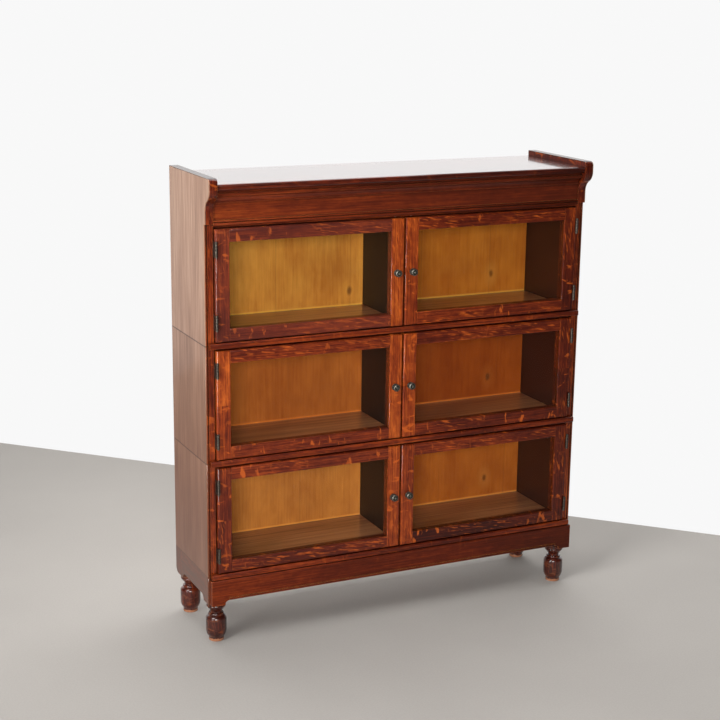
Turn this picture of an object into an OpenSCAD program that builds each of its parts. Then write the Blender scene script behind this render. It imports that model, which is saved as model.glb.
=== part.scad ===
// Stacking glazed bookcase: a base on turned feet and three sections that stand on each other,
// each with a pair of side-hinged glazed doors. The upper section's end boards run on up, past
// a frieze and cove moulding, and end as low galleries beside the top board.
// Millimetres. +Z is up, -Y is the front, and the origin is on the floor under the middle.

/* [Case] */
// Width over the end boards
case_w = 950; // [700:10:1200]
// Depth of the end boards, front edge to rear edge
case_d = 224; // [180:2:400]
// Height of one section
section_h = 266; // [220:2:420]
// Thickness of a section's end board
end_t = 30; // [26:1:40]
// Width of the end board's front edge beside the door rebate
edge_w = 20; // [16:0.5:24]
// Thickness of a section's bottom shelf
shelf_t = 17; // [14:1:25]
// Thickness of the central partition
partition_t = 10; // [6:1:24]
// Thickness of the back board
back_t = 6; // [4:0.5:12]
// Distance from the rear edges to the back board
back_inset = 15; // [6:1:24]

/* [Front rails] */
// Radius of the bead on a front corner
bead_r = 2; // [1.5:0.25:3]
// Width of the quirk beside the bead
quirk_w = 3.3; // [2:0.1:4]
// Depth of the quirk
quirk_d = 3; // [2:0.5:5]
// Distance that the nosing stands in front of the end boards
nosing_proud = 12; // [10:0.5:16]
// Height of the nosing above the section's underside
nosing_up = 6.5; // [5:0.5:9]
// Lap of the nosing below the section's underside
nosing_lap = 6; // [3:0.5:9]
// Height of the top rail's strip above the doors
strip_h = 7.5; // [7:0.5:14]
// Height of the top rail behind the doors
rail_h = 22; // [18:1:40]
// Thickness of the top rail behind the doors
rail_t = 15; // [10:1:24]

/* [Doors] */
// Thickness of a door
door_t = 20; // [18:0.5:26]
// Distance that a door stands in front of the end boards
door_proud = 9; // [7:0.5:11]
// Width of a stile
stile_w = 32; // [28:1:60]
// Width of a door rail
door_rail_w = 29; // [24:1:60]
// Radius of the door's outer front edges
door_edge_r = 4; // [1:0.5:5]
// Radius of the front edges round the glass
sight_edge_r = 1.5; // [0.5:0.5:3]
// Gap between a door and its end board
hinge_gap = 3; // [2.6:0.1:4]
// Gap between the two doors of a section
middle_gap = 3.5; // [1:0.5:5]
// Gap above a door
top_gap = 3; // [2.8:0.1:5]
// Gap under a door
bottom_gap = 1.5; // [1:0.5:3]
// Gap between a closed door and its stops
stop_gap = 0.4; // [0.3:0.1:1]
// Thickness of the glass
glass_t = 3; // [2:0.5:4]
// Depth of the glass behind the door's front face
glass_set = 6; // [5:0.5:8]
// Width of the rebate that holds the glass
rebate_w = 8; // [6:0.5:10]
// Length of a rail's tenon
tenon_l = 16; // [8:1:20]
// Thickness of a rail's tenon
tenon_t = 6; // [4:0.5:8]

/* [Hinges and knobs] */
// Height of a butt hinge
hinge_h = 33; // [25:1:50]
// Radius of the hinge knuckle
knuckle_r = 3.1; // [2.5:0.1:3.3]
// Radius of the hinge pin
pin_r = 1.5; // [1:0.1:1.8]
// Distance from a door's top or bottom edge to its hinge
hinge_inset = 27; // [15:1:60]
// Radius of a knob
knob_r = 8; // [7:0.5:14]
// Distance that a knob stands out of its door
knob_reach = 12.5; // [10:0.5:25]
// Distance from a door's meeting edge to the knob's axis
knob_inset = 18; // [12:0.5:18]
// Radius of a knob's shank
shank_r = 2; // [1.5:0.25:3]

/* [Cornice] */
// Height of the cornice, from the upper doors' strip to the top of the galleries
cornice_h = 100; // [90:1:140]
// Reach of the end boards' noses in front of the case
nose_reach = 35; // [32:1:50]
// Thickness of the top board
top_t = 13; // [12:0.5:25]
// Height of the galleries above the top board
gallery_h = 13; // [8:1:30]
// Overhang of the top board in front of the case
top_reach = 30; // [28:0.5:32]
// Distance that the frieze stands in front of the case
frieze_proud = 4; // [3:0.5:6]
// Lap of the frieze's bead below the cornice
frieze_lap = 3.5; // [2:0.5:6]
// Height of the cove moulding under the top board
cove_h = 29; // [26:1:32]
// Reach of the cove moulding in front of the case
cove_reach = 20; // [18:0.5:22]

/* [Base] */
// Height of the base from the foot's top to the first section
base_h = 65; // [50:1:100]
// Height of the turned feet
foot_h = 95; // [80:1:140]
// Depth of the front apron's face in front of the case
apron_proud = 15; // [13:0.5:20]
// Rise of the apron and side rails between their corner drops
arch_rise = 10; // [6:1:16]
// Rise of the side rails between their corner drops
side_rise = 13; // [6:1:18]
// Thickness of the side rails
side_rail_t = 18; // [15:1:24]
// Length of the rear corner posts
post_l = 40; // [36:1:60]
// Radius of a foot's barrel
foot_r = 23.5; // [20:0.5:24]
// Distance from the side of the case to a foot's axis
foot_inset = 26; // [25:0.5:34]
// Radius of a foot's spigot
spigot_r = 6; // [5:0.5:7]

/* [Hidden] */
$fn = 64;
eps = 0.1;
fit_gap = 0.1;
pin_clearance = 0.05;
catch_r = 3.4;
catch_h = 5;
spigot_l = 25;
board_t = 18;
// Width of the apron's drop in front of a foot, and the bead along its arch
drop_w = 28;
apron_bead_r = 2.5;
// Height of the hidden rails of the base above the arch
inner_lift = 5;
post_round_r = 14;
// Depth of the end boards' rebate for the back board
back_rebate = 8;
// Distance from a door rail's edges to its tenon
tenon_inset = 4;
// Gaps at a hinge: barrel to door face, knuckle to knuckle, leaf to leaf
barrel_gap = 0.3;
knuckle_gap = 0.15;
leaf_gap = 0.3;
pin_head_r = 2.2;
knob_plate_t = 1.6;
knob_head_t = 6;
// Height and rise of the end boards' ogee, and the rounding of their noses
ogee_low = 28;
ogee_rise = 48;
nose_round_r = 11;
// Fillets under and over the cove
cove_low = 4;
cove_high = 7;

LEVELS = ["lower", "middle", "upper"];
SIDES = ["left", "right"];
BASE_PARTS = ["front_apron", "side_rail_left", "side_rail_right", "base_back_rail", "rear_posts",
              "corner_blocks", "feet"];
CORNICE_PARTS = ["top_board", "frieze", "cove_moulding", "cornice_back_rail"];
SECTION_PARTS = ["end_left", "end_right", "shelf", "nosing", "top_rails", "partition", "back"];
DOOR_PARTS = ["frame", "glass", "knob", "hinge_leaves"];
FITTINGS = ["case_hinge_leaves", "hinge_pins", "ball_catches"];
NODES = concat(BASE_PARTS, CORNICE_PARTS, FITTINGS,
               [for (level = LEVELS) for (part = SECTION_PARTS) str(level, "_", part)],
               [for (level = LEVELS) for (side = SIDES) for (part = DOOR_PARTS)
                   str(level, "_door_", side, "_", part)]);
node = "all";

// Places across the case, given for the left half and mirrored for the right
half_w = case_w / 2;
edge_x = half_w - edge_w;
inner_x = half_w - end_t;
quirk_x = half_w - 2 * bead_r - quirk_w;
back_x = inner_x + back_rebate;
door_out = edge_x - hinge_gap;
door_in = middle_gap / 2;
sight_out = door_out - stile_w;
sight_in = door_in + stile_w;
knob_x = door_in + knob_inset;
pin_x = door_out - 0.5;
apron_x = half_w - 2 * bead_r;

// Places through the depth, counted from the front edges of the end boards
door_y0 = -door_proud;
door_y1 = door_y0 + door_t;
glass_y0 = door_y0 + glass_set;
glass_y1 = glass_y0 + glass_t;
stop_y = door_y1 + stop_gap;
rail_y1 = stop_y + rail_t;
back_y1 = case_d - back_inset;
back_y0 = back_y1 - back_t;
pin_y = door_y0 - knuckle_r - barrel_gap;
post_y = case_d - post_l;
apron_back = stop_y + 0.6;
front_foot_y = apron_back + spigot_r + 3;
rear_foot_y = case_d - foot_inset + 2;

// Heights within a section
door_z0 = nosing_up + bottom_gap;
door_z1 = section_h - strip_h - top_gap;
door_mid = (door_z0 + door_z1) / 2;
sight_z0 = door_z0 + door_rail_w;
sight_z1 = door_z1 - door_rail_w;
rail_z0 = section_h - rail_h;
strip_z0 = section_h - strip_h;

// Heights of the stack
base_top = foot_h + base_h;
cornice_z = base_top + len(LEVELS) * section_h;
top_z1 = cornice_h - gallery_h;
top_z0 = top_z1 - top_t;
apron_top = base_h - nosing_lap - 0.5;
centre_shift = (nose_reach - case_d) / 2;

wood = [0.36, 0.16, 0.09];
pale_wood = [0.66, 0.44, 0.2];
metal = [0.22, 0.21, 0.18];

function shown(name) = node == "all" || node == name;

// Helpers --------------------------------------------------------------------------------

// The whole object is drawn from the case's front edge and moved over the origin
module placed(z) translate([0, centre_shift, z]) children();

module at_level(i) placed(base_top + i * section_h) children();

// Left-hand work as it is, right-hand work mirrored
module on_side(side) {
    if (side == "right") mirror([1, 0, 0]) children();
    else children();
}

module both_sides() {
    children();
    mirror([1, 0, 0]) children();
}

// A profile of depth and height, drawn out across the case
module across(x0, x1) translate([x0, 0, 0]) rotate([90, 0, 90]) linear_extrude(x1 - x0) children();

module block(a, b) translate(a) cube(b - a);

// What a corner loses when it is rounded; sx and sy point into the board
module corner_waste(x, y, sx, sy, r) {
    difference() {
        translate([x - (sx > 0 ? eps : r), y - (sy > 0 ? eps : r)]) square(r + eps);
        translate([x + sx * r, y + sy * r]) circle(r);
    }
}

// A rectangle whose four corners have their own radii: front low, rear low, rear high, front high
module board_2d(a, b, radii) {
    signs = [[1, 1], [-1, 1], [-1, -1], [1, -1]];
    places = [a, [b.x, a.y], b, [a.x, b.y]];
    difference() {
        translate(a) square(b - a);
        for (i = [0:3])
            if (radii[i] > 0)
                corner_waste(places[i].x, places[i].y, signs[i].x, signs[i].y, radii[i]);
    }
}

// Plan of an upright board's beaded front corner, left-hand, front edge on y = 0
module beaded_plan(thickness, depth) {
    difference() {
        translate([-half_w, 0]) square([thickness, depth]);
        translate([-half_w - eps, -eps]) square(bead_r + eps);
        translate([-half_w + 2 * bead_r, -eps]) square([quirk_w, quirk_d + eps]);
    }
    translate([-half_w + bead_r, bead_r]) circle(bead_r);
}

// Base -----------------------------------------------------------------------------------

// Apron whose face stands in front of the side rails, with a thicker part between them that
// comes down over the front feet
module front_apron() {
    drop_x = quirk_x - drop_w;
    color(wood) placed(foot_h) {
        difference() {
            across(-apron_x, apron_x)
                board_2d([-apron_proud, 0], [0, apron_top], [0, 0, 0, 2]);
            block([-drop_x + arch_rise, -apron_proud - 1, -1], [drop_x - arch_rise, 1, arch_rise]);
            both_sides() translate([-drop_x + arch_rise, 1, 0]) rotate([90, 0, 0])
                cylinder(r = arch_rise, h = apron_proud + 2);
            // quirk above the bead
            block([-drop_x + arch_rise, -apron_proud - 1, arch_rise + 2 * apron_bead_r],
                  [drop_x - arch_rise, -apron_proud + 1.5, arch_rise + 2 * apron_bead_r + 1.5]);
        }
        across(-drop_x + arch_rise, drop_x - arch_rise)
            translate([-apron_proud + 1, arch_rise + apron_bead_r]) circle(apron_bead_r);
        block([side_rail_t - half_w, 0, arch_rise + inner_lift],
              [half_w - side_rail_t, apron_back, base_h]);
        both_sides()
            block([side_rail_t - half_w, 0, 0], [-drop_x, apron_back, arch_rise + inner_lift + eps]);
    }
}

module side_rail() {
    arch_y0 = front_foot_y + 10 + side_rise;
    arch_y1 = post_y - 8 - side_rise;
    color(wood) placed(foot_h) difference() {
        linear_extrude(base_h) beaded_plan(side_rail_t, post_y);
        block([-half_w - 1, arch_y0, -1], [0, arch_y1, side_rise]);
        for (y = [arch_y0, arch_y1])
            translate([-half_w - 1, y, 0]) rotate([0, 90, 0]) cylinder(r = side_rise, h = half_w);
    }
}

module base_back_rail() {
    color(wood) placed(foot_h)
        block([post_l - half_w, case_d - board_t, arch_rise + inner_lift],
              [half_w - post_l, case_d, base_h]);
}

module spigot_bore(y) {
    translate([foot_inset - half_w, y, -1])
        cylinder(r = spigot_r + fit_gap, h = spigot_l + 1 + eps);
}

// Posts behind the side rails, rounded at their lower rear corners
module rear_posts() {
    color(wood) placed(foot_h) both_sides() difference() {
        across(-half_w, post_l - half_w)
            board_2d([post_y, 0], [case_d, base_h], [0, post_round_r, 0, 0]);
        spigot_bore(rear_foot_y);
    }
}

// Blocks inside the front corners, which take the front feet
module corner_blocks() {
    color(wood) placed(foot_h) both_sides() difference() {
        block([side_rail_t - half_w, apron_back, 0],
              [side_rail_t + post_l - half_w, apron_back + post_l, base_h - 5]);
        spigot_bore(front_foot_y);
    }
}

// Outline of a turned foot, radius against height: bottom ring, barrel, bead, neck and cup
module foot_outline() {
    ring_h = 9;
    belly_r = 26;
    shoulder_r = 10;
    shoulder_z = foot_h - 43;
    bead_z = shoulder_z + 12;
    neck_r = foot_r - 10.5;
    cup_r = foot_r - 1.2;
    cup_z = foot_h - 13;
    lip_r = 4;
    intersection() {
        translate([0, ring_h - 1]) square([foot_r, foot_h]);
        union() {
            translate([foot_r - belly_r, belly_r]) circle(belly_r);
            translate([0, belly_r]) square([foot_r, shoulder_z - belly_r]);
            translate([0, shoulder_z]) square([foot_r - shoulder_r, shoulder_r]);
            translate([foot_r - shoulder_r, shoulder_z]) circle(shoulder_r);
            translate([0, bead_z - 3]) square([neck_r, cup_z - bead_z]);
            translate([neck_r + 1.5, bead_z]) circle(3.2);
            polygon([[0, cup_z - 11], [neck_r, cup_z - 11], [cup_r - 0.8, cup_z],
                     [cup_r - 0.8, foot_h], [0, foot_h]]);
            translate([cup_r - lip_r, cup_z + 2.5]) circle(lip_r);
        }
    }
    board_2d([0, 0], [foot_r - 6.3, ring_h], [0, 1.5, 0, 0]);
}

module feet() {
    color(wood) placed(0) both_sides()
        for (y = [front_foot_y, rear_foot_y])
            translate([foot_inset - half_w, y, 0]) {
                rotate_extrude() foot_outline();
                translate([0, 0, foot_h - 1]) cylinder(r = spigot_r, h = spigot_l + 1 - eps);
            }
}

// Sections -------------------------------------------------------------------------------

// Left end board: bead and quirk in front, rebates for the door and for the back board
module end_board() {
    color(wood) linear_extrude(section_h) difference() {
        beaded_plan(end_t, case_d);
        translate([-edge_x, -eps]) square([end_t, stop_y + eps]);
        translate([-back_x, back_y0]) square([end_t, case_d]);
    }
}

module shelf() {
    color(wood) block([-inner_x, stop_y, 0], [inner_x, back_y0, shelf_t]);
}

// Nosing under the doors: its front laps over the joint below, its tongue meets the shelf
module nosing() {
    color(wood) {
        across(-quirk_x, quirk_x)
            board_2d([-nosing_proud, -nosing_lap], [0, nosing_up], [2, 0, 0, 3]);
        block([-edge_x, -eps, 0], [edge_x, stop_y, nosing_up]);
    }
}

// Rails at the top of a section: one over and behind the doors, one in front of the back board
module top_rails() {
    color(wood) {
        difference() {
            union() {
                block([-edge_x, 0, strip_z0], [edge_x, stop_y, section_h]);
                block([-inner_x, stop_y - eps, rail_z0], [inner_x, rail_y1, section_h]);
            }
            both_sides() translate([-knob_x, stop_y / 2, strip_z0 - 1])
                cylinder(r = catch_r + fit_gap, h = catch_h + 1 + fit_gap);
        }
        block([-inner_x, back_y0 - rail_t, rail_z0], [inner_x, back_y0, section_h]);
    }
}

module partition() {
    color(wood) difference() {
        block([-partition_t / 2, stop_y, shelf_t], [partition_t / 2, back_y0, section_h]);
        block([-partition_t, stop_y - 1, rail_z0], [partition_t, rail_y1, section_h + 1]);
        block([-partition_t, back_y0 - rail_t, rail_z0], [partition_t, back_y0 + 1, section_h + 1]);
    }
}

module back_board() {
    color(pale_wood) block([-back_x, back_y0, 0], [back_x, back_y1, section_h]);
}

// Doors, drawn left-hand -----------------------------------------------------------------

// Everything a door is cut from: the four outer front edges are rounded
module door_blank() {
    intersection() {
        translate([0, 0, door_z0]) linear_extrude(door_z1 - door_z0)
            board_2d([-door_out, door_y0], [-door_in, door_y1],
                     [door_edge_r, door_edge_r, 0, 0]);
        across(-door_out, -door_in)
            board_2d([door_y0, door_z0], [door_y1, door_z1], [door_edge_r, 0, 0, door_edge_r]);
    }
}

// Stile whose outer edge is at x0 and whose glass edge is at x1
module stile(x0, x1) {
    into = x1 > x0 ? 1 : -1;
    difference() {
        linear_extrude(section_h) difference() {
            translate([min(x0, x1), door_y0]) square([stile_w, door_t]);
            translate([x1 - (into > 0 ? rebate_w : eps), glass_y0])
                square([rebate_w + eps, door_t]);
        }
        translate([0, 0, sight_z0]) linear_extrude(sight_z1 - sight_z0)
            corner_waste(x1, door_y0, -into, 1, sight_edge_r);
    }
}

// Depth and height of a door rail whose outer edge is at z0 and whose glass edge is at z1
module door_rail_profile(z0, z1) {
    into = z1 > z0 ? 1 : -1;
    difference() {
        translate([door_y0, min(z0, z1)]) square([door_t, door_rail_w]);
        translate([glass_y0, z1 - (into > 0 ? rebate_w : eps)])
            square([door_t, rebate_w + eps]);
        corner_waste(door_y0, z1, 1, -into, sight_edge_r);
    }
}

// Rail with its rear part run into the stiles' rebates, and a tenon at each end
module door_rail(z0, z1) {
    low = min(z0, z1) + (z1 > z0 ? 0 : rebate_w);
    high = max(z0, z1) - (z1 > z0 ? rebate_w : 0);
    x0 = -sight_out + fit_gap;
    x1 = -sight_in - fit_gap;
    reach = rebate_w - 2 * fit_gap;
    tenon_y = (glass_y0 + door_y1 - tenon_t) / 2;
    across(x0, x1) door_rail_profile(z0, z1);
    block([x0 - reach, glass_y0 + fit_gap, low], [x1 + reach, door_y1, high]);
    block([x0 - reach - tenon_l, tenon_y, low + tenon_inset],
          [x1 + reach + tenon_l, tenon_y + tenon_t, high - tenon_inset]);
}

// Mortise for a rail's tenon, with a hairline of clearance all round
module mortises() {
    tenon_y = (glass_y0 + door_y1 - tenon_t) / 2;
    depth = rebate_w + tenon_l + fit_gap;
    for (z = [[door_z0 + tenon_inset, sight_z0 - rebate_w - tenon_inset],
              [sight_z1 + rebate_w + tenon_inset, door_z1 - tenon_inset]])
        block([-sight_out - depth, tenon_y - fit_gap, z[0] - fit_gap],
              [-sight_in + depth, tenon_y + tenon_t + fit_gap, z[1] + fit_gap]);
}

module glazing_beads() {
    y0 = glass_y1 + fit_gap / 2;
    far = rebate_w - fit_gap;
    x0 = -sight_out - far;
    x1 = -sight_in + far;
    z0 = sight_z0 - far;
    z1 = sight_z1 + far;
    block([x0, y0, z0], [x1, door_y1, sight_z0]);
    block([x0, y0, sight_z1], [x1, door_y1, z1]);
    block([x0, y0, sight_z0 + fit_gap], [-sight_out, door_y1, sight_z1 - fit_gap]);
    block([-sight_in, y0, sight_z0 + fit_gap], [x1, door_y1, sight_z1 - fit_gap]);
}

module door_frame() {
    color(wood) {
        difference() {
            intersection() {
                door_blank();
                union() {
                    stile(-door_out, -sight_out);
                    stile(-door_in, -sight_in);
                }
            }
            mortises();
            translate([-knob_x, door_y0 - 1, door_mid]) rotate([-90, 0, 0])
                cylinder(r = shank_r + fit_gap, h = door_t - 4);
        }
        intersection() {
            door_blank();
            union() {
                door_rail(door_z0, sight_z0);
                door_rail(door_z1, sight_z1);
            }
        }
        glazing_beads();
    }
}

module door_glass() {
    inset = rebate_w - 1;
    color([0.8, 0.87, 0.85, 0.35])
        block([-sight_out - inset, glass_y0, sight_z0 - inset],
              [-sight_in + inset, glass_y1, sight_z1 + inset]);
}

// Outline of a knob, radius against distance from the door's face
module knob_outline() {
    head = knob_reach - knob_head_t;
    square([knob_r, knob_plate_t]);
    translate([0, knob_plate_t - eps]) square([knob_r * 0.8, 1]);
    square([knob_r * 0.5, knob_reach - 1]);
    difference() {
        board_2d([0, head], [knob_r, knob_reach], [0, 2, 2.5, 0]);
        translate([knob_r * 0.55, knob_reach]) circle(0.8);
    }
    intersection() {
        translate([0, knob_reach - 1]) circle(2);
        translate([0, knob_reach - 1]) square(3);
    }
}

module door_knob() {
    color(metal) translate([-knob_x, door_y0, door_mid]) rotate([90, 0, 0]) {
        rotate_extrude() knob_outline();
        translate([0, 0, -door_t + 6]) cylinder(r = shank_r, h = door_t - 5);
    }
}

// Hinges ---------------------------------------------------------------------------------

hinge_places = [door_z0 + hinge_inset, door_z1 - hinge_inset - hinge_h];
leaf_t = (hinge_gap - leaf_gap) / 2;
knuckles = 5;
knuckle_h = hinge_h / knuckles;

// One leaf from x0 to x1 with the knuckles whose numbers are given
module hinge_leaf(x0, x1, numbers) {
    difference() {
        union() {
            block([x0, 0.2, 0], [x1, door_y1, hinge_h]);
            for (i = numbers) {
                low = i * knuckle_h + (i == 0 ? 0 : knuckle_gap);
                high = (i + 1) * knuckle_h - (i == knuckles - 1 ? 0 : knuckle_gap);
                block([x0, pin_y, low], [x1, 0.3, high]);
                translate([-pin_x, pin_y, low]) cylinder(r = knuckle_r, h = high - low);
            }
        }
        translate([-pin_x, pin_y, -1]) cylinder(r = pin_r + pin_clearance, h = hinge_h + 2);
    }
}

module door_hinge_leaves() {
    color(metal) for (z = hinge_places) translate([0, 0, z])
        hinge_leaf(-door_out - leaf_t, -door_out, [1, 3]);
}

module case_hinge_leaves() {
    color(metal) for (i = [0:len(LEVELS) - 1]) at_level(i) both_sides()
        for (z = hinge_places) translate([0, 0, z])
            hinge_leaf(-edge_x, -edge_x + leaf_t, [0, 2, 4]);
}

module hinge_pins() {
    color(metal) for (i = [0:len(LEVELS) - 1]) at_level(i) both_sides()
        for (z = hinge_places) translate([-pin_x, pin_y, z]) {
            translate([0, 0, -1]) cylinder(r = pin_r, h = hinge_h + 2);
            for (end = [-1.5, hinge_h + 0.3])
                translate([0, 0, end]) cylinder(r = pin_head_r, h = 1.2);
        }
}

// Spring catches in the strip over the doors, one above each meeting stile
module ball_catches() {
    color(metal) for (i = [0:len(LEVELS) - 1]) at_level(i) both_sides()
        translate([-knob_x, stop_y / 2, strip_z0]) {
            cylinder(r = catch_r, h = catch_h);
            sphere(r = catch_r - 0.8);
        }
}

// Cornice --------------------------------------------------------------------------------

// Side view of an end board: straight foot, ogee, upright nose with a rounded top
module cornice_end_profile() {
    foot_y = -frieze_proud - 2.5;
    span = nose_reach + foot_y;
    ogee_r = (span * span + ogee_rise * ogee_rise) / (4 * span);
    middle = ogee_low + ogee_rise / 2;
    high = ogee_low + ogee_rise;
    difference() {
        board_2d([-nose_reach, 0], [case_d, cornice_h], [0, 0, 0, nose_round_r]);
        translate([-nose_reach - 1, -1]) square([span + 1, ogee_low + 1]);
        intersection() {
            translate([foot_y - ogee_r, ogee_low]) circle(ogee_r);
            translate([-nose_reach - 1, ogee_low - eps]) square([span + 1, ogee_rise / 2 + eps]);
        }
        difference() {
            translate([-nose_reach - 1, middle - eps]) square([span / 2 + 1, ogee_rise / 2 + eps]);
            translate([-nose_reach + ogee_r, high]) circle(ogee_r);
        }
    }
}

// Upper part of the upper section's end board. Its inner face is cut back for the frieze, the
// back rail and the top board, which rests on the ledge.
module cornice_end() {
    color(wood) translate([0, 0, section_h]) {
        across(-half_w, -edge_x) cornice_end_profile();
        block([-edge_x, board_t - frieze_proud, 0], [-inner_x, case_d - board_t, top_z0]);
    }
}

module top_board() {
    color(wood) placed(cornice_z) across(-edge_x, edge_x)
        board_2d([-top_reach, top_z0], [case_d, top_z1], [3, 0, 0, 5]);
}

// Flat board with two beads along its lower edge; the lower bead laps over the joint below
module frieze() {
    low_r = 3;
    high_r = 2;
    face = -frieze_proud;
    color(wood) placed(cornice_z) across(-edge_x, edge_x) difference() {
        union() {
            translate([face, 0]) square([board_t, top_z0]);
            translate([face, -frieze_lap]) square([frieze_proud - 0.5, 10]);
            translate([face, low_r - frieze_lap]) circle(low_r);
            translate([face, 2 * low_r + 1 + high_r - frieze_lap]) circle(high_r);
        }
        translate([face - 4, 2 * low_r - frieze_lap]) square([5, 1]);
        translate([face - 4, 2 * low_r + 1 + 2 * high_r - frieze_lap]) square([5, 1]);
    }
}

// Cove under the top board, between two fillets
module cove_moulding() {
    back = -frieze_proud;
    low = top_z0 - cove_h;
    cove_r = cove_reach - frieze_proud - 4.5;
    color(wood) placed(cornice_z) across(-edge_x, edge_x) difference() {
        translate([-cove_reach, low]) square([cove_reach + back, cove_h]);
        translate([-cove_reach - 1, low - eps]) square([1 + cove_r, cove_low + eps]);
        translate([-cove_reach, low + cove_low]) circle(cove_r);
        translate([-cove_reach - 1, top_z0 - cove_high]) square([5, cove_high + 1]);
    }
}

module cornice_back_rail() {
    color(wood) placed(cornice_z)
        block([-edge_x, case_d - board_t, 0], [edge_x, case_d, top_z0]);
}

// Drawing --------------------------------------------------------------------------------

if (shown("front_apron")) front_apron();
if (shown("side_rail_left")) side_rail();
if (shown("side_rail_right")) mirror([1, 0, 0]) side_rail();
if (shown("base_back_rail")) base_back_rail();
if (shown("rear_posts")) rear_posts();
if (shown("corner_blocks")) corner_blocks();
if (shown("feet")) feet();

if (shown("top_board")) top_board();
if (shown("frieze")) frieze();
if (shown("cove_moulding")) cove_moulding();
if (shown("cornice_back_rail")) cornice_back_rail();

if (shown("case_hinge_leaves")) case_hinge_leaves();
if (shown("hinge_pins")) hinge_pins();
if (shown("ball_catches")) ball_catches();

for (i = [0:len(LEVELS) - 1]) {
    for (side = SIDES)
        if (shown(str(LEVELS[i], "_end_", side))) at_level(i) on_side(side) {
            end_board();
            if (i == len(LEVELS) - 1) cornice_end();
        }
    if (shown(str(LEVELS[i], "_shelf"))) at_level(i) shelf();
    if (shown(str(LEVELS[i], "_nosing"))) at_level(i) nosing();
    if (shown(str(LEVELS[i], "_top_rails"))) at_level(i) top_rails();
    if (shown(str(LEVELS[i], "_partition"))) at_level(i) partition();
    if (shown(str(LEVELS[i], "_back"))) at_level(i) back_board();
    for (side = SIDES) {
        door = str(LEVELS[i], "_door_", side, "_");
        if (shown(str(door, "frame"))) at_level(i) on_side(side) door_frame();
        if (shown(str(door, "glass"))) at_level(i) on_side(side) door_glass();
        if (shown(str(door, "knob"))) at_level(i) on_side(side) door_knob();
        if (shown(str(door, "hinge_leaves"))) at_level(i) on_side(side) door_hinge_leaves();
    }
}
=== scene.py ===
"""Looks for a stacking glazed bookcase: stained oak, golden backs, glass, dark hinges and knobs.

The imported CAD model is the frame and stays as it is. Metres, +Z up, -Y the front, and the
origin on the floor under the middle.
"""

import math

import bpy
from mathutils import Matrix, Vector


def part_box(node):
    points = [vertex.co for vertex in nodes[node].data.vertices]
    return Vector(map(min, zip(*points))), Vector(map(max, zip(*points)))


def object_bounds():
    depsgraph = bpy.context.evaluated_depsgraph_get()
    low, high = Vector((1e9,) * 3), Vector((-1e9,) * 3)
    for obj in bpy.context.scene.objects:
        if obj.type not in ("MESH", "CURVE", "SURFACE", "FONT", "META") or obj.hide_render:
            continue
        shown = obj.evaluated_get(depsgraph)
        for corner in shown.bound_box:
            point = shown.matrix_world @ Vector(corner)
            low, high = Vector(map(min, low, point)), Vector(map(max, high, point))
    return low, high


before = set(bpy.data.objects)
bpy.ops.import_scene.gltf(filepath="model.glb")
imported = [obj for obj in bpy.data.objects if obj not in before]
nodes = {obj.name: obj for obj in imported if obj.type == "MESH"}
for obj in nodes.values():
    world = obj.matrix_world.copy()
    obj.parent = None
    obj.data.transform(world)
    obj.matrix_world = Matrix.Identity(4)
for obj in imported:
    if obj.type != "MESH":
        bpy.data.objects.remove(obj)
cad_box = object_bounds()

LEVELS = ("lower", "middle", "upper")
SIDES = ("left", "right")
MM = 0.001
VARNISH_IOR = 1.5


# Shader graphs ----------------------------------------------------------------------------


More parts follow.
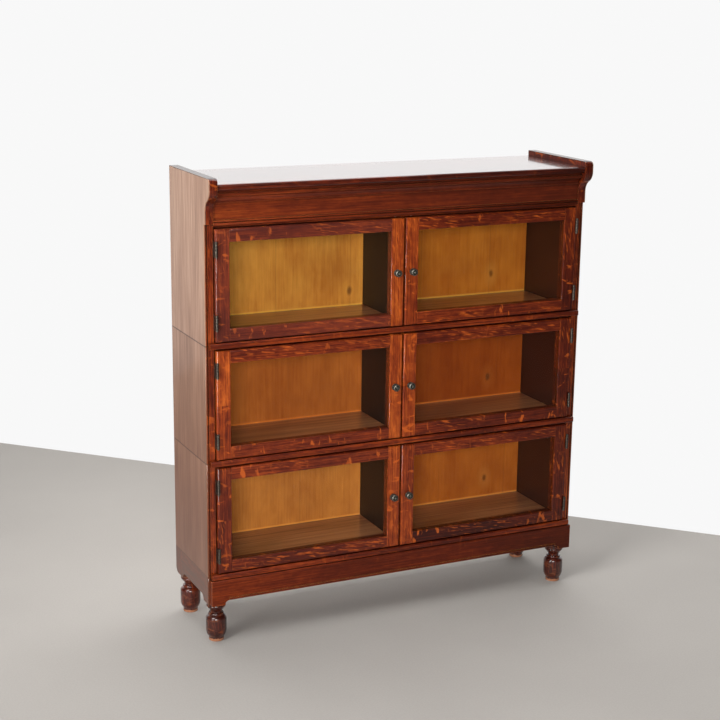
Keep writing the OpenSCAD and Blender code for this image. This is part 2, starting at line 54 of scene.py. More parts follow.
class Graph:
    """A material's node tree, with short calls that add nodes and join them."""

    def __init__(self, name):
        self.material = bpy.data.materials.new(name)
        self.material.use_nodes = True
        self.tree = self.material.node_tree
        self.tree.nodes.clear()

    def feed(self, socket, value):
        if isinstance(value, bpy.types.NodeSocket):
            self.tree.links.new(value, socket)
        else:
            socket.default_value = value

    def add(self, kind, inputs=None, **settings):
        node = self.tree.nodes.new(kind)
        for name, value in settings.items():
            setattr(node, name, value)
        for key, value in (inputs or {}).items():
            self.feed(node.inputs[key], value)
        return node

    def math(self, operation, *values, clamp=False):
        inputs = dict(enumerate(values))
        return self.add("ShaderNodeMath", inputs, operation=operation, use_clamp=clamp).outputs[0]

    def vector(self, operation, *values):
        return self.add("ShaderNodeVectorMath", dict(enumerate(values)), operation=operation).outputs[0]

    def mix(self, factor, low, high, blend="MIX"):
        """Colour mix: low where factor is 0, high where it is 1."""
        inputs = {0: factor, 6: colour(low), 7: colour(high)}
        return self.add("ShaderNodeMix", inputs, data_type="RGBA", blend_type=blend).outputs[2]

    def between(self, value, low, high, start=0.0, end=1.0):
        """start below low, end above high, and a smooth step from one to the other."""
        inputs = {"Value": value, "From Min": low, "From Max": high, "To Min": start, "To Max": end}
        node = self.add("ShaderNodeMapRange", inputs, interpolation_type="SMOOTHSTEP")
        return node.outputs["Result"]

    def ramp(self, value, *stops):
        """A colour ramp: stops are (position, colour)."""
        node = self.add("ShaderNodeValToRGB", {"Fac": value})
        band = node.color_ramp
        while len(band.elements) < len(stops):
            band.elements.new(0.5)
        for element, (position, shade) in zip(band.elements, stops):
            element.position = position
            element.color = colour(shade)
        return node.outputs["Color"]

    def noise(self, vector, scale=1.0, detail=3.0, roughness=0.5, distortion=0.0):
        inputs = {"Vector": vector, "Scale": scale, "Detail": detail,
                  "Roughness": roughness, "Distortion": distortion}
        return self.add("ShaderNodeTexNoise", inputs).outputs["Fac"]

    def object_place(self):
        """The three coordinates of the shaded point in its object's own frame."""
        place = self.add("ShaderNodeTexCoord").outputs["Object"]
        return self.add("ShaderNodeSeparateXYZ", {0: place}).outputs

    def combine(self, x, y, z):
        return self.add("ShaderNodeCombineXYZ", {0: x, 1: y, 2: z}).outputs[0]

    def reach(self, a, b):
        """Distance from the origin of the point (a, b)."""
        squares = self.math("MULTIPLY_ADD", a, a, self.math("MULTIPLY", b, b))
        return self.math("SQRT", squares)

    def surface(self, shader):
        output = self.add("ShaderNodeOutputMaterial")
        self.tree.links.new(shader, output.inputs["Surface"])
        return self.material

    def principled(self, base, roughness, bump=None, **fixed):
        """A Principled shader. Numbers in fixed are set on its own sockets."""
        node = self.add("ShaderNodeBsdfPrincipled", {"Base Color": colour(base), "Roughness": roughness})
        for name, value in fixed.items():
            title = name.replace("_", " ").title().replace("Ior", "IOR")
            node.inputs[title].default_value = value
        if bump is not None:
            self.tree.links.new(bump, node.inputs["Normal"])
        return node.outputs["BSDF"]

    def bump(self, height, distance, strength=1.0):
        inputs = {"Height": height, "Distance": distance, "Strength": strength}
        return self.add("ShaderNodeBump", inputs).outputs["Normal"]

    def edge_wear(self, radius):
        """1 on a worn outer edge and 0 on flat faces."""
        rounded = self.add("ShaderNodeBevel", {"Radius": radius}, samples=4).outputs[0]
        flat = self.add("ShaderNodeNewGeometry").outputs["Normal"]
        facing = self.add("ShaderNodeVectorMath", {0: rounded, 1: flat}, operation="DOT_PRODUCT")
        return self.between(facing.outputs["Value"], 0.995, 0.8)

    def crevice(self, distance):
        """1 in the open and 0 deep in a joint."""
        node = self.add("ShaderNodeAmbientOcclusion", {"Distance": distance}, samples=6)
        return node.outputs["AO"]


def colour(value):
    """A plain RGB triple as RGBA; sockets pass through."""
    if isinstance(value, tuple) and len(value) == 3:
        return (*value, 1.0)
    return value


# Oak --------------------------------------------------------------------------------------

# Stain from the darkest lines to the most rubbed places, and the ray flecks
STAIN = (
    (0.0, (0.024, 0.0030, 0.0014)),
    (0.35, (0.080, 0.0095, 0.0028)),
    (0.65, (0.200, 0.0290, 0.0048)),
    (1.0, (0.420, 0.0950, 0.0130)),
)
FLECK = (0.50, 0.098, 0.012)
RUBBED = (0.46, 0.150, 0.040)
INSIDE = (0.032, 0.0062, 0.0030)
# What covers the grain: sun on the sides, an even stain on the mouldings, a greyish veil on doors
FADED = (0.100, 0.053, 0.034)
EVEN = (0.085, 0.0140, 0.0048)
GREYISH_VEIL = (0.085, 0.026, 0.022)
# The faded sides, from their dark lines to their pale ones; the painted shade that makes them darker low
# down, and the heights between which it lifts
SIDE_STAIN = ((0.34, (0.130, 0.062, 0.036)), (0.5, (0.255, 0.142, 0.090)), (0.66, (0.40, 0.260, 0.180)))
SIDE_LOW_PAINTED_SHADE = (0.56, 0.40, 0.34)
LOW_SHADE_HEIGHTS = (0.2, 1.0)
SEAM = (0.012, 0.004, 0.002)
# Which of x, y and z run across, into and along a board whose grain runs along the key
GRAIN_ORDER = {"X": (2, 1, 0), "Y": (0, 2, 1), "Z": (0, 1, 2)}


def grain_space(g, axis, seed):
    """Coordinates whose third number runs along the grain, moved by seed so that boards differ."""
    place = g.object_place()
    a, b, along = (place[i] for i in GRAIN_ORDER[axis])
    shift = (seed * 3.17 % 11, seed * 7.43 % 13, seed * 5.71 % 17)
    return g.vector("ADD", g.combine(a, b, along), shift)


def stretched(g, space, across, along):
    """space scaled so that a noise has so many waves to the metre across and along the grain."""
    return g.vector("MULTIPLY", space, (across, across, along))


def oak_pattern(g, space, tone, flecks):
    """Colour, roughness and bump height of quarter-sawn oak. tone and flecks run from 0 to 1."""
    clouds = g.noise(stretched(g, space, 9, 3.5), detail=3)
    stripes = g.noise(stretched(g, space, 290, 7), detail=4, roughness=0.66)
    pores = g.noise(stretched(g, space, 900, 34), detail=2, roughness=0.6)
    across, depth, along = g.add("ShaderNodeSeparateXYZ", {0: space}).outputs
    slant = g.math("MULTIPLY_ADD", along, 0.16, across)
    flames = g.noise(g.combine(g.math("MULTIPLY", slant, 38), g.math("MULTIPLY", depth, 38),
                               g.math("MULTIPLY", along, 80)), detail=3, distortion=0.5)
    dashes = g.noise(g.combine(g.math("MULTIPLY", slant, 300), g.math("MULTIPLY", depth, 120),
                               g.math("MULTIPLY", along, 40)), detail=2, distortion=0.4)
    clusters = g.between(g.noise(stretched(g, space, 3, 6), detail=2), 0.42, 0.60)
    flames = g.math("MULTIPLY", g.between(flames, 0.58, 0.68), clusters)
    dashes = g.math("MULTIPLY", g.between(dashes, 0.54, 0.74), g.math("SUBTRACT", 1.0, clusters))
    fleck = g.math("MULTIPLY", g.math("MAXIMUM", flames, dashes), flecks, clamp=True)
    mottle = g.noise(stretched(g, space, 75, 38), detail=4, roughness=0.65)
    value = g.math("MULTIPLY_ADD", g.math("SUBTRACT", clouds, 0.5), 0.80, tone)
    value = g.math("MULTIPLY_ADD", g.math("SUBTRACT", stripes, 0.5), 1.30, value)
    value = g.math("MULTIPLY_ADD", g.math("SUBTRACT", mottle, 0.5), 0.55, value)
    value = g.math("SUBTRACT", value, g.between(pores, 0.54, 0.66, 0.0, 0.20))
    stain = g.ramp(value, *STAIN)
    stain = g.mix(g.math("MULTIPLY", fleck, 0.75), stain, FLECK)
    roughness = g.math("MULTIPLY_ADD", stripes, 0.16, 0.30)
    height = g.math("MULTIPLY_ADD", pores, -0.5, g.math("MULTIPLY", stripes, 0.5))
    return stain, roughness, height


def varnished(g, stain, roughness, height, gloss, wear, painted_shade):
    """Stained wood under varnish, rubbed lighter along its edges, with shade painted darker into its
    joints and recesses.
    """
    edge = g.math("MULTIPLY", g.edge_wear(1.3 * MM), wear)
    stain = g.mix(edge, stain, RUBBED)
    # Painted shade: the occlusion mask darkens the colour in joints, recesses and gaps
    shade = g.between(g.crevice(6 * MM), 0.2, 0.85, 1.0 - painted_shade, 1.0)
    stain = g.mix(1.0, stain, g.combine(shade, shade, shade), blend="MULTIPLY")
    bump = g.bump(height, 0.25 * MM, 0.35)
    return g.surface(g.principled(stain, roughness, bump, specular_ior_level=0.1, coat_weight=gloss,
                                  coat_roughness=0.09, coat_ior=VARNISH_IOR))


def oak(name, axis, seed, tone, flecks=0.5, gloss=0.3, wear=0.4, right_end_shade=0.0, painted_shade=0.7, veil=(0.0, FADED)):
    """Stained oak; drift is painted shade, darkening it towards the right-hand end by so much tone to the
    metre.

    veil is how much an even colour covers the grain, and that colour.
    """
    g = Graph(name)
    if right_end_shade:
        # Painted shade: darker towards the right-hand end, further from the light
        tone = g.math("MULTIPLY_ADD", g.object_place()[0], -right_end_shade, tone)
    stain, roughness, height = oak_pattern(g, grain_space(g, axis, seed), tone, flecks)
    stain = g.mix(veil[0], stain, veil[1])
    return varnished(g, stain, roughness, height, gloss, wear, painted_shade)


# On the end boards: the height of the dark nose's foot, and how far back the doors reach
NOSE_LOW = 0.94
DOORS_BACK = cad_box[0].y + 45 * MM


def end_board_oak(name, seed, inner_x):
    """Upright oak whose outer face has faded, and whose inner face is dark behind the doors.

    inner_x is the inner face's distance from the middle of the bookcase.
    """
    g = Graph(name)
    place = g.object_place()
    space = grain_space(g, "Z", seed)
    tone = g.between(place[2], NOSE_LOW, NOSE_LOW + 40 * MM, 0.50, 0.27)
    stain, roughness, height = oak_pattern(g, space, tone, flecks=0.5)
    sideways = g.math("ABSOLUTE", place[0])
    low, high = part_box(name.replace("oak_", ""))
    outer_x = max(abs(low.x), abs(high.x))
    outer = g.between(sideways, outer_x - 3 * MM, outer_x - 1 * MM)
    pale = g.math("MULTIPLY_ADD", g.noise(stretched(g, space, 240, 7), detail=5, roughness=0.65), 0.46,
                  g.math("MULTIPLY_ADD", g.noise(stretched(g, space, 26, 5), detail=5), 0.28, 0.13))
    faded = g.ramp(pale, *SIDE_STAIN)
    climb = g.between(place[2], *LOW_SHADE_HEIGHTS)
    # Painted shade: the faded outer face darkens towards the floor
    faded = g.mix(climb, g.mix(1.0, faded, SIDE_LOW_PAINTED_SHADE, blend="MULTIPLY"), faded)
    stain = g.mix(outer, stain, faded)
    inner = g.between(sideways, inner_x + 1 * MM, inner_x, 0.0, 1.0)
    behind = g.between(place[1], DOORS_BACK, DOORS_BACK + 1 * MM)
    stain = g.mix(g.math("MULTIPLY", inner, behind), stain, INSIDE)
    ends = g.math("MAXIMUM", g.between(place[2], low.z + 2 * MM, low.z + 0.8 * MM),
                  g.between(place[2], high.z - 2 * MM, high.z - 0.8 * MM))
    stain = g.mix(g.math("MULTIPLY", ends, 0.85), stain, SEAM)
    return varnished(g, stain, roughness, height, gloss=0.45, wear=0.35, painted_shade=0.9)


def door_oak(name, seed, tones, haze, sight, flecks):
    """A door frame's oak: upright grain in the stiles, level grain in the rails.

    tones are for the outer stile, the meeting stile, the top rail and the bottom rail; haze
    is how strongly a greyish colour covers the grain away from the meeting stile; sight is
    the box of the glass seen between them.
    """
    g = Graph(name)
    x, y, z = g.object_place()
    across = g.math("ABSOLUTE", x)
    outer = g.math("GREATER_THAN", across, max(abs(sight[0].x), abs(sight[1].x)))
    meeting = g.math("LESS_THAN", across, min(abs(sight[0].x), abs(sight[1].x)))
    stile = g.math("ADD", outer, meeting)
    top = g.math("GREATER_THAN", z, (sight[0].z + sight[1].z) / 2)
    member = g.math("ADD", g.math("MULTIPLY", outer, 3.1), g.math("MULTIPLY_ADD", top, 1.7, seed * 2.3))
    rail_space = g.combine(z, y, x)
    stile_space = g.combine(x, y, z)
    spaces = g.add("ShaderNodeMix", {0: stile, 4: rail_space, 5: stile_space}, data_type="VECTOR")
    space = g.vector("ADD", spaces.outputs[1], g.combine(member, member, member))
    rail_tone = g.math("MULTIPLY_ADD", top, tones[2] - tones[3], tones[3])
    stile_tone = g.math("MULTIPLY_ADD", outer, tones[0] - tones[1], tones[1])
    tone = g.add("ShaderNodeMix", {0: stile, 2: rail_tone, 3: stile_tone}, data_type="FLOAT").outputs[0]
    stain, roughness, height = oak_pattern(g, space, tone, flecks)
    greyish = g.math("MULTIPLY", g.math("SUBTRACT", 1.0, meeting), haze)
    # A greyish colour laid over the grain, away from the meeting stile
    stain = g.mix(greyish, stain, GREYISH_VEIL)
    return varnished(g, stain, roughness, height, gloss=0.35, wear=0.55, painted_shade=0.5)


# Other materials --------------------------------------------------------------------------

KNOT = (0.16, 0.050, 0.012)
GLUE_LINE = (0.13, 0.05, 0.018)
GLUE_LINE_STEP = 0.19
# The right half is redder and darker than the left, and the rear is bare: its dark and light colour
BACK_RIGHT_TINT = (0.84, 0.62, 0.38)
BACK_REAR = ((0.20, 0.100, 0.044), (0.36, 0.205, 0.100))


def with_knot(g, board, x, z, blotch, shade):
    """board with a knot at the origin of x and z: a lighter figure, rings and a dark heart."""
    dark, light = shade
    far = g.reach(g.math("MULTIPLY", x, 1.25), g.math("MULTIPLY", z, 0.75))
    far = g.math("MULTIPLY_ADD", g.math("SUBTRACT", blotch, 0.5), 12 * MM, far)
    rings = g.math("SINE", g.math("MULTIPLY", far, 900))
    ringed = g.math("MULTIPLY", g.between(far, 22 * MM, 8 * MM, 0.0, 0.30), rings, clamp=True)
    board = g.mix(g.between(far, 34 * MM, 8 * MM, 0.0, 0.30), board, light)
    board = g.mix(ringed, board, dark)
    return g.mix(g.between(far, 10 * MM, 4 * MM, 0.0, 0.75), board, KNOT)


def back_board(name, seed, shade, knots):
    """Plain golden board with upright grain, a few glue lines and knots at (x, z) places.

    shade is its dark and its light colour, which carry painted light. A lighter strip shows above the
    shelf.
    """
    g = Graph(name)
    x, y, z = g.object_place()
    space = grain_space(g, "Z", seed)
    broad = g.noise(stretched(g, space, 10, 1.6), detail=3)
    fine = g.noise(stretched(g, space, 260, 9), detail=5, roughness=0.65)
    blotch = g.noise(stretched(g, space, 26, 15), detail=5, roughness=0.6)
    value = g.math("MULTIPLY_ADD", broad, 0.40, g.math("MULTIPLY", fine, 0.36))
    value = g.math("MULTIPLY_ADD", blotch, 0.42, value)
    dark, light = shade
    dark_at, light_at = 0.44, 0.74
    board = g.ramp(value, (dark_at, dark), (light_at, light))
    right = g.mix(1.0, board, BACK_RIGHT_TINT, blend="MULTIPLY")
    board = g.mix(g.between(x, -10 * MM, 10 * MM), board, right)
    for knot_x, knot_z in knots:
        board = with_knot(g, board, g.math("SUBTRACT", x, knot_x), g.math("SUBTRACT", z, knot_z),
                          blotch, shade)
    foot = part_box(name.replace("back_", "") + "_shelf")[1].z
    strip = tuple(min(1.0, 1.35 * v) for v in light)
    board = g.mix(g.between(z, foot + 5 * MM, foot + 2.5 * MM, 0.0, 0.7), board, strip)
    low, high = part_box(name.replace("back_", "") + "_back")
    rear = g.math("GREATER_THAN", y, (low.y + high.y) / 2)
    board = g.mix(rear, board, g.ramp(value, (dark_at, BACK_REAR[0]), (light_at, BACK_REAR[1])))
    joint = g.math("PINGPONG", g.math("ADD", x, 31 * MM * seed), GLUE_LINE_STEP / 2)
    board = g.mix(g.between(joint, 0.0, 1.2 * MM, 0.35, 0.0), board, GLUE_LINE)
    bump = g.bump(fine, 0.2 * MM, 0.3)
    return g.surface(g.principled(board, g.math("MULTIPLY_ADD", fine, 0.2, 0.45), bump,
                                  specular_ior_level=0.12))


def shelf_wood(name, seed):
    """Brown varnished shelf with grain from side to side."""
    g = Graph(name)
    space = grain_space(g, "X", seed)
    streaks = g.noise(stretched(g, space, 170, 3.5), detail=4, roughness=0.6)
    stain = g.ramp(streaks, (0.34, (0.230, 0.088, 0.036)), (0.67, (0.54, 0.250, 0.108)))
    bump = g.bump(streaks, 0.2 * MM, 0.25)
    return g.surface(g.principled(stain, g.math("MULTIPLY_ADD", streaks, 0.12, 0.26), bump,
                                  specular_ior_level=0.3, coat_weight=0.6, coat_roughness=0.12,
                                  coat_ior=VARNISH_IOR))


def inner_wood(name, seed):
    """Nearly black inner board."""
    g = Graph(name)
    space = grain_space(g, "Z", seed)
    streaks = g.noise(stretched(g, space, 110, 3), detail=4)
    stain = g.ramp(streaks, (0.3, (0.003, 0.0010, 0.0008)), (0.7, (0.008, 0.0028, 0.0020)))
    return g.surface(g.principled(stain, g.math("MULTIPLY_ADD", streaks, 0.2, 0.35),
                                  g.bump(streaks, 0.2 * MM, 0.3), specular_ior_level=0.3))


FOOT_RUBBED = (0.26, 0.085, 0.03)
FOOT_BARE = (0.36, 0.150, 0.075)


def foot_wood(name):
    """Dark turned oak, worn in rings, with bare wood at the lowest ring."""
    g = Graph(name)
    z = g.object_place()[2]
    space = grain_space(g, "Z", 4)
    stain, roughness, height = oak_pattern(g, space, tone=0.12, flecks=0.30)
    rub = g.between(g.noise(stretched(g, space, 60, 160), detail=4), 0.55, 0.72)
    stain = g.mix(g.math("MULTIPLY", rub, 0.35), stain, FOOT_RUBBED)
    patchy = g.math("MULTIPLY_ADD", g.noise(space, 90, 3), 8 * MM, z)
    bare = g.between(patchy, 11 * MM, 9 * MM)
    stain = g.mix(g.math("MULTIPLY", bare, 0.8), stain, FOOT_BARE)
    bump = g.bump(height, 0.3 * MM, 0.4)
    gloss = g.math("MULTIPLY_ADD", bare, 0.3, roughness)
    return g.surface(g.principled(stain, gloss, bump, specular_ior_level=0.2, coat_weight=0.8,
                                  coat_roughness=0.12, coat_ior=VARNISH_IOR))


def window_glass(name):
    """Clear sheet glass: what is behind it, and a mirror image that grows as it is seen more flatly."""
    g = Graph(name)
    place = g.combine(*g.object_place())
    smear = g.noise(place, 7, 3, 0.6, 0.5)
    waves = g.bump(g.noise(place, 5.5, 1), 0.5 * MM, 0.25)
    clear = g.add("ShaderNodeBsdfTransparent", {"Color": (0.96, 0.955, 0.94, 1.0)}).outputs[0]
    mirror = g.principled((0.02, 0.022, 0.02), g.math("MULTIPLY_ADD", smear, 0.06, 0.015), waves,
                          specular_ior_level=1.0, ior=1.5)
    # Schlick's curve for glass, so that both faces of an opened pane mirror alike
    facing = g.add("ShaderNodeLayerWeight", {"Blend": 0.5}).outputs["Facing"]
    shine = g.math("MULTIPLY_ADD", g.math("POWER", facing, 5.0), 0.9, 0.035)
    share = g.math("ADD", shine, g.between(smear, 0.45, 0.8, 0.0, 0.025), clamp=True)
    mixed = g.add("ShaderNodeMixShader", {0: share, 1: clear, 2: mirror})
    return g.surface(mixed.outputs[0])


GROOVE_R = 4.2 * MM
DARK_RING_COLOUR = (0.006, 0.005, 0.004)
# Dark and light colours, and roughness
BRONZE = ((0.075, 0.072, 0.060), (0.240, 0.235, 0.200), 0.34)
DARK_STEEL = ((0.034, 0.028, 0.022), (0.130, 0.108, 0.088), 0.36)
SATIN_STEEL = ((0.25, 0.25, 0.24), (0.55, 0.55, 0.52), 0.25)


def aged_metal(name, dark, light, roughness, ringed=None):
    """Darkened metal, bare along its edges; a ringed node is painted with a dark ring around its middle.
    """
    g = Graph(name)
    x, y, z = g.object_place()
    place = g.combine(x, y, z)
    mottle = g.noise(place, 420, 4, 0.65)
    base = g.ramp(mottle, (0.35, dark), (0.7, light))
    edge = g.math("MULTIPLY", g.edge_wear(0.5 * MM), 0.6)
    base = g.mix(edge, base, tuple(min(1.0, 2.2 * v) for v in light))
    if ringed:
        middle = (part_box(ringed)[0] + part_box(ringed)[1]) / 2
        far = g.reach(g.math("SUBTRACT", x, middle.x), g.math("SUBTRACT", z, middle.z))
        groove = g.between(g.math("ABSOLUTE", g.math("SUBTRACT", far, GROOVE_R)), 1.4 * MM, 0.6 * MM)
        # A dark ring painted around the knob's middle
        base = g.mix(g.math("MULTIPLY", groove, 0.9), base, DARK_RING_COLOUR)
    rough = g.math("MULTIPLY_ADD", mottle, 0.25, roughness)
    return g.surface(g.principled(base, rough, g.bump(mottle, 0.1 * MM, 0.4), metallic=1.0))


# Dressing the frame -----------------------------------------------------------------------

# How wide the edges of the wood are broken, and the last words of the nodes whose edges stay sharp
WOOD_EDGE = 0.6 * MM
DOOR_EDGE = 1.2 * MM
UNSOFTENED = ("glass", "knob", "leaves", "pins", "catches", "feet")


def dress(node, material):
    """Gives a node's whole mesh one material."""
    mesh = nodes[node].data
    mesh.materials.clear()
    mesh.materials.append(material)


def soften(node, width):
    """Breaks the sharp edges of a CAD solid, without moving its faces."""
    piece = nodes[node]
    weld = piece.modifiers.new("weld", "WELD")
    weld.merge_threshold = 0.01 * MM
    bevel = piece.modifiers.new("soft_edges", "BEVEL")
    bevel.width = width
    bevel.segments = 2
    bevel.limit_method = "ANGLE"
    bevel.angle_limit = math.radians(50)
    bevel.harden_normals = True


def seen_glass(level, side):
    """The box of the glass that shows inside a door's frame: the pane less its cover."""
    cover = 7 * MM
    low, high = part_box(f"{level}_door_{side}_glass")
    return low + Vector((cover, 0, cover)), high - Vector((cover, 0, cover))


# Tones of each door: outer stile, meeting stile, top rail and bottom rail; and its haze
DOOR_TONES = {
    "upper_left": (0.38, 0.68, 0.42, 0.40, 0.28),
    "upper_right": (0.34, 0.66, 0.38, 0.42, 0.0),
    "middle_left": (0.58, 0.74, 0.42, 0.42, 0.05),
    "middle_right": (0.32, 0.60, 0.42, 0.38, 0.0),
    "lower_left": (0.38, 0.64, 0.48, 0.30, 0.06),
    "lower_right": (0.26, 0.54, 0.40, 0.14, 0.0),
}
# Dark and light colour of each back board, with painted light in them: the upper board painted lightest
# for the light that falls in through the doors, and the lower one lighter than the middle one for a
# painted reflection of the floor
BACK_SHADES_WITH_PAINTED_LIGHT = {
    "upper": ((0.60, 0.205, 0.026), (0.92, 0.420, 0.066)),
    "middle": ((0.38, 0.090, 0.012), (0.62, 0.180, 0.026)),
    "lower": ((0.52, 0.155, 0.024), (0.82, 0.315, 0.056)),
}


# Knots left and right of the middle of a back board: how far out, as a share of the shelf's half
# width, and how far above the shelf
KNOTS = ((0.09, 36 * MM), (0.78, 50 * MM))


def dress_base():
    dress("front_apron", oak("oak_apron", "X", 1, tone=0.30, flecks=0.12, gloss=0.08, wear=0.9,
                             right_end_shade=0.35, painted_shade=0.95, veil=(0.35, EVEN)))
    rail = oak("oak_base_side", "Y", 2, tone=0.42, flecks=0.1, gloss=0.5, veil=(0.55, FADED))
    for side in SIDES:
        dress(f"side_rail_{side}", rail)
    hidden = oak("oak_hidden", "X", 3, tone=0.45, flecks=0.2, wear=0.3)
    for node in ("base_back_rail", "corner_blocks", "cornice_back_rail"):
        dress(node, hidden)
    dress("rear_posts", oak("oak_posts", "Z", 5, tone=0.42, flecks=0.1, gloss=0.5, wear=0.3,
                            veil=(0.45, FADED)))
    dress("feet", foot_wood("oak_feet"))


def dress_cornice():
    dress("top_board", oak("oak_top", "X", 6, tone=0.12, flecks=0.08, gloss=1.0, wear=0.5))
    dress("frieze", oak("oak_frieze", "X", 7, tone=0.40, flecks=0.05, gloss=0.25, wear=0.6,
                        right_end_shade=0.45, painted_shade=0.95, veil=(0.45, EVEN)))
    dress("cove_moulding", oak("oak_cove", "X", 8, tone=0.28, flecks=0.1, wear=0.5,
                               right_end_shade=0.25, painted_shade=0.95, veil=(0.35, EVEN)))


def dress_sections():
    inner_x = max(abs(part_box("upper_shelf")[0].x), abs(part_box("upper_shelf")[1].x))
    for i, level in enumerate(LEVELS):
        for k, side in enumerate(SIDES):
            end = f"{level}_end_{side}"
            dress(end, end_board_oak(f"oak_{end}", 10 + 2 * i + k, inner_x))
        dress(f"{level}_nosing", oak(f"oak_nosing_{level}", "X", 20 + i, tone=0.38, flecks=0.25,
                                     wear=0.6, right_end_shade=0.16))
        dress(f"{level}_top_rails", oak(f"oak_rails_{level}", "X", 24 + i, tone=0.40, flecks=0.1,
                                        wear=0.3))
        dress(f"{level}_shelf", shelf_wood(f"shelf_{level}", 28 + i))
        dress(f"{level}_partition", inner_wood(f"partition_{level}", 32 + i))
        low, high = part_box(f"{level}_shelf")
        knots = [(side.x * share, high.z + up) for side, (share, up) in zip((low, high), KNOTS)]
        dress(f"{level}_back", back_board(f"back_{level}", 36 + i, BACK_SHADES_WITH_PAINTED_LIGHT[level],
                                          knots if level == "upper" else knots[1:]))


def dress_doors():
    glass = window_glass("door_glass")
    hinge = aged_metal("hinge_steel", *DARK_STEEL)
    for i, level in enumerate(LEVELS):
        for k, side in enumerate(SIDES):
            door = f"{level}_door_{side}"
            seed = 50 + 2 * i + k
            *tones, haze = DOOR_TONES[f"{level}_{side}"]
            sight = seen_glass(level, side)
            dress(f"{door}_frame", door_oak(f"oak_{door}", seed, tones, haze, sight, flecks=0.85))
            dress(f"{door}_glass", glass)
            dress(f"{door}_knob", aged_metal(f"bronze_{door}_knob", *BRONZE, ringed=f"{door}_knob"))
            dress(f"{door}_hinge_leaves", hinge)
    dress("case_hinge_leaves", hinge)
    dress("hinge_pins", hinge)
    dress("ball_catches", aged_metal("catch_steel", *SATIN_STEEL))


# Stage ------------------------------------------------------------------------------------

# The floor reaches this far each way, and ends along the line x + y = FLOOR_CUT
FLOOR_REACH = 7
FLOOR_CUT = 1.05


def make_floor():
    """A pale carpeted floor that ends behind the bookcase, so that a plain wall shows beyond it."""
    g = Graph("floor_pale")
    place = g.combine(*g.object_place())
    pile = g.noise(place, 260, 3, 0.7)
    broad = g.noise(place, 2.5, 3)
    shade = g.math("MULTIPLY_ADD", pile, 0.16, g.math("MULTIPLY", broad, 0.10))
    base = g.ramp(shade, (0.05, (0.33, 0.308, 0.285)), (0.22, (0.42, 0.394, 0.366)))
    material = g.surface(g.principled(base, 0.9, g.bump(pile, 1 * MM, 0.4)))
    mesh = bpy.data.meshes.new("floor")
    far, cut = FLOOR_REACH, FLOOR_REACH - FLOOR_CUT
    corners = [(-far, -far, 0), (far, -far, 0), (far, -cut, 0), (-cut, far, 0), (-far, far, 0)]
    mesh.from_pydata(corners, [], [(0, 1, 2, 3, 4)])
    floor = bpy.data.objects.new("floor", mesh)
    bpy.context.scene.collection.objects.link(floor)
    mesh.materials.append(material)


# Towards the wall, and the world's light there and in the room in front
WALL_DIRECTION = (0.45, 0.88, 0.15)
WALL_LIGHT = 0.94
ROOM_LIGHT = 0.03
# From the room to the wall, as the cosine of the angle to WALL_DIRECTION
WALL_EDGE = (0.30, 0.84)
# Where the wall brightens above the horizon, as a sine, and from what strength to what
RISE = (0.03, 0.20)
STRENGTH = (1.0, 1.7)


def make_world():
    """A white wall behind, brighter towards the ceiling, and a dark room in front."""
    world = bpy.data.worlds.new("room")
    bpy.context.scene.world = world
    world.use_nodes = True
    nodes_of, link = world.node_tree.nodes, world.node_tree.links.new
    nodes_of.clear()

    def stretch(value, low, high, start, end):
        node = nodes_of.new("ShaderNodeMapRange")
        for title, number in (("From Min", low), ("From Max", high), ("To Min", start), ("To Max", end)):
            node.inputs[title].default_value = number
        link(value, node.inputs["Value"])
        return node.outputs["Result"]

    direction = nodes_of.new("ShaderNodeTexCoord").outputs["Generated"]
    dot = nodes_of.new("ShaderNodeVectorMath")
    dot.operation = "DOT_PRODUCT"
    dot.inputs[1].default_value = WALL_DIRECTION
    link(direction, dot.inputs[0])
    ramp = nodes_of.new("ShaderNodeValToRGB")
    ramp.color_ramp.elements[0].color = (ROOM_LIGHT, ROOM_LIGHT, ROOM_LIGHT, 1)
    ramp.color_ramp.elements[1].color = (WALL_LIGHT, WALL_LIGHT, WALL_LIGHT, 1)
    ramp.color_ramp.interpolation = "EASE"
    link(stretch(dot.outputs["Value"], *WALL_EDGE, 0.0, 1.0), ramp.inputs["Fac"])
    parts = nodes_of.new("ShaderNodeSeparateXYZ")
    link(direction, parts.inputs[0])
    background = nodes_of.new("ShaderNodeBackground")
    link(ramp.outputs["Color"], background.inputs["Color"])
    link(stretch(parts.outputs["Z"], *RISE, *STRENGTH), background.inputs["Strength"])
    link(background.outputs[0], nodes_of.new("ShaderNodeOutputWorld").inputs["Surface"])


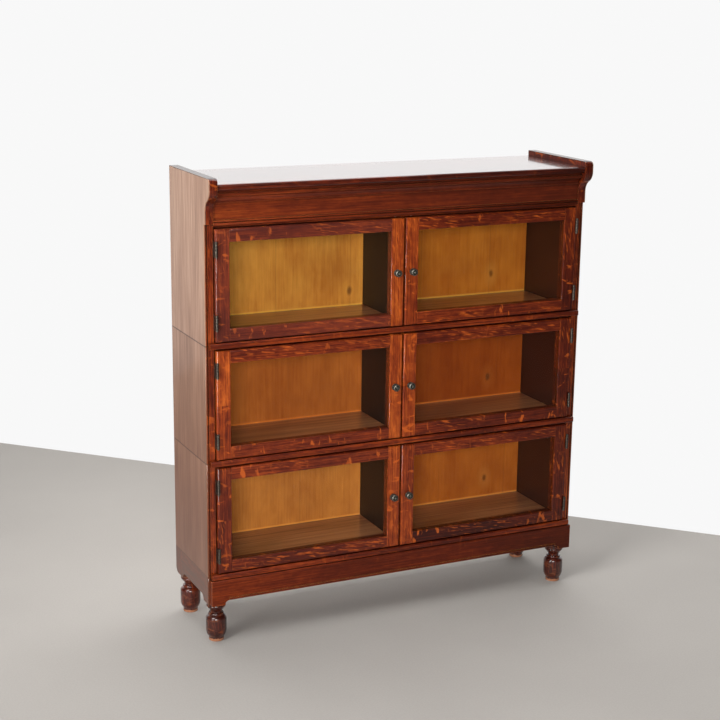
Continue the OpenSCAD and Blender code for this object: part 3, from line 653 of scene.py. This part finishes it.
# Name, place, target, size, power and how far the light spreads, in degrees
LIGHTS = (
    ("key", (-2.1, -1.0, 2.3), (0, 0, 1.0), (1.2, 1.2), 20, 90),
    ("front", (-2.0, -4.0, 1.5), (-0.3, 0, 0.5), (1.6, 1.2), 14, 50),
    ("overhead", (0.1, 0.35, 3.1), (0.1, 0.1, 0), (2.4, 1.6), 62, 180),
    ("strip", (-2.7, -1.35, 0.25), (0, 0, 0.6), (0.25, 1.4), 8, 60),
)


def area_light(name, place, target, size, power, spread):
    data = bpy.data.lights.new(name, "AREA")
    data.shape = "RECTANGLE"
    data.size, data.size_y = size
    data.energy = power
    data.spread = math.radians(spread)
    light = bpy.data.objects.new(name, data)
    light.location = place
    light.rotation_euler = (Vector(target) - Vector(place)).to_track_quat("-Z", "Y").to_euler()
    bpy.context.scene.collection.objects.link(light)


# The camera's place in metres, its angles in degrees and its lens in millimetres
CAMERA_PLACE = (-1.5473, -3.1452, 1.4728)
CAMERA_TURN = 25.30
CAMERA_TILT = 14.06
CAMERA_ROLL = 0.71
CAMERA_LENS = 76.8
SENSOR_WIDTH = 36


def make_camera():
    """The camera looks slightly down at the front and the left side."""
    turn = math.radians(CAMERA_TURN)
    tilt = math.radians(CAMERA_TILT)
    roll = math.radians(CAMERA_ROLL)
    ahead = Vector((math.sin(turn) * math.cos(tilt), math.cos(turn) * math.cos(tilt), -math.sin(tilt)))
    level = Vector((math.cos(turn), -math.sin(turn), 0))
    right = Matrix.Rotation(-roll, 3, ahead) @ level
    up = right.cross(ahead)
    data = bpy.data.cameras.new("camera")
    data.sensor_width = SENSOR_WIDTH
    data.lens = CAMERA_LENS
    camera = bpy.data.objects.new("camera", data)
    axes = Matrix((right, up, -ahead)).transposed()
    camera.matrix_world = Matrix.Translation(CAMERA_PLACE) @ axes.to_4x4()
    bpy.context.scene.collection.objects.link(camera)
    bpy.context.scene.camera = camera


dress_base()
dress_cornice()
dress_sections()
dress_doors()
for name in nodes:
    if name.split("_")[-1] not in UNSOFTENED:
        soften(name, DOOR_EDGE if name.endswith("_frame") else WOOD_EDGE)

make_floor()
make_world()
for light in LIGHTS:
    area_light(*light)
make_camera()
bpy.context.scene.view_settings.view_transform = "Standard"
